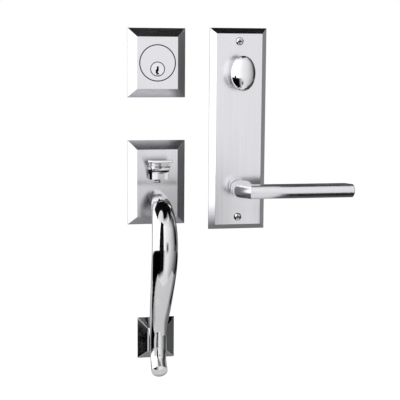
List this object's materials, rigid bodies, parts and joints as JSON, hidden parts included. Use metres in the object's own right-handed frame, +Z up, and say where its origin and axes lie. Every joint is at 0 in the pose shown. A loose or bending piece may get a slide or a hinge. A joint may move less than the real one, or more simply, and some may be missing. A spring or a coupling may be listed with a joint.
{
  "type": "entry door handleset",
  "caption": "Entry door handleset with bevelled outside roses, key cylinder, thumbpiece, S-shaped grip and foot, and a long inside plate with thumbturn and lever.",
  "frame": {"origin": "on the door plane, on the latch axis of the outside grip trim", "axes": "+Z up along the trims, -Y out of the door towards the user, +X to the user's right"},
  "size_m": [0.2688, 0.1475, 0.4218],
  "materials": {
    "satin_rose": "satin chrome with vertical brushing",
    "satin_plate": "satin chrome with vertical brushing",
    "satin_lever": "satin chrome brushed along the arm",
    "cylinder_satin": "satin chrome",
    "plug_polished": "polished chrome",
    "polished_chrome": "polished chrome",
    "polished_thumbpiece": "polished chrome",
    "polished_foot": "polished chrome",
    "polished_turn": "polished chrome",
    "polished_screws": "polished chrome",
    "pin_brass": "turned brass",
    "inner_brass": "plain brass strip",
    "bushing_bronze": "sintered bronze",
    "zinc_steel": "zinc-plated steel",
    "spring_steel": "spring steel",
    "dark_steel": "black oxide steel",
    "nylon": "black nylon"
  },
  "bodies": {
    "trim": {"deadbolt_rose": "satin_rose", "cylinder_body": "cylinder_satin", "driver_pins": "pin_brass", "pin_springs": "spring_steel", "chamber_cap": "inner_brass", "cylinder_posts": "zinc_steel", "grip_rose": "satin_rose", "grip_handle": "polished_chrome", "grip_root_washer": "zinc_steel", "grip_root_screw": "zinc_steel", "thumb_bracket": "zinc_steel", "bracket_screws": "zinc_steel", "thumb_pivot_pin": "zinc_steel", "thumb_spring": "spring_steel", "grip_posts": "zinc_steel", "foot_rose": "polished_foot", "foot_insert": "zinc_steel", "interior_plate": "satin_plate", "plate_screws": "polished_screws", "interior_backplate": "zinc_steel", "through_bolts": "zinc_steel", "turn_washer": "nylon", "lever_bushing": "bushing_bronze", "spring_housing": "zinc_steel", "return_spring": "spring_steel"},
    "plug": {"key_plug": "plug_polished", "key_pins": "pin_brass", "plug_cap": "zinc_steel", "tailpiece": "zinc_steel"},
    "thumb": {"thumbpiece": "polished_thumbpiece"},
    "hub": {"lift_hub": "zinc_steel", "hub_clip": "spring_steel", "latch_spindle": "zinc_steel"},
    "turn": {"thumbturn": "polished_turn", "turn_clip": "spring_steel"},
    "lever": {"lever": "satin_lever", "lever_set_screw": "dark_steel", "lever_spindle": "zinc_steel", "lever_clip": "spring_steel", "spring_hub": "zinc_steel"}
  },
  "joints": [
    {"name": "key_turn", "type": "hinge", "parent": "trim", "child": "plug", "pos_m": [0, 0, 0.1325], "axis": [0, -1, 0], "range_deg": [-90, 90]},
    {"name": "thumb_press", "type": "hinge", "parent": "trim", "child": "thumb", "pos_m": [0, -0.0032, -0.003], "axis": [1, 0, 0], "range_deg": [0, 12], "stiffness_Nm_per_rad": 0.15, "springref_deg": -20.05, "deforming": ["thumb_spring"]},
    {"name": "lift_turn", "type": "hinge", "parent": "trim", "child": "hub", "pos_m": [0, 0, 0], "axis": [0, -1, 0], "range_deg": [0, 24]},
    {"name": "thumbturn_turn", "type": "hinge", "parent": "trim", "child": "turn", "pos_m": [0.1, 0, 0.1281], "axis": [0, -1, 0], "range_deg": [0, 90]},
    {"name": "lever_turn", "type": "hinge", "parent": "trim", "child": "lever", "pos_m": [0.1, 0, -0.0116], "axis": [0, 1, 0], "range_deg": [0, 45], "stiffness_Nm_per_rad": 0.7, "springref_deg": -45.84, "deforming": ["return_spring"]}
  ],
  "couplings": [
    {"joint": "lift_turn", "follows": "thumb_press", "ratio": 2}
  ]
}
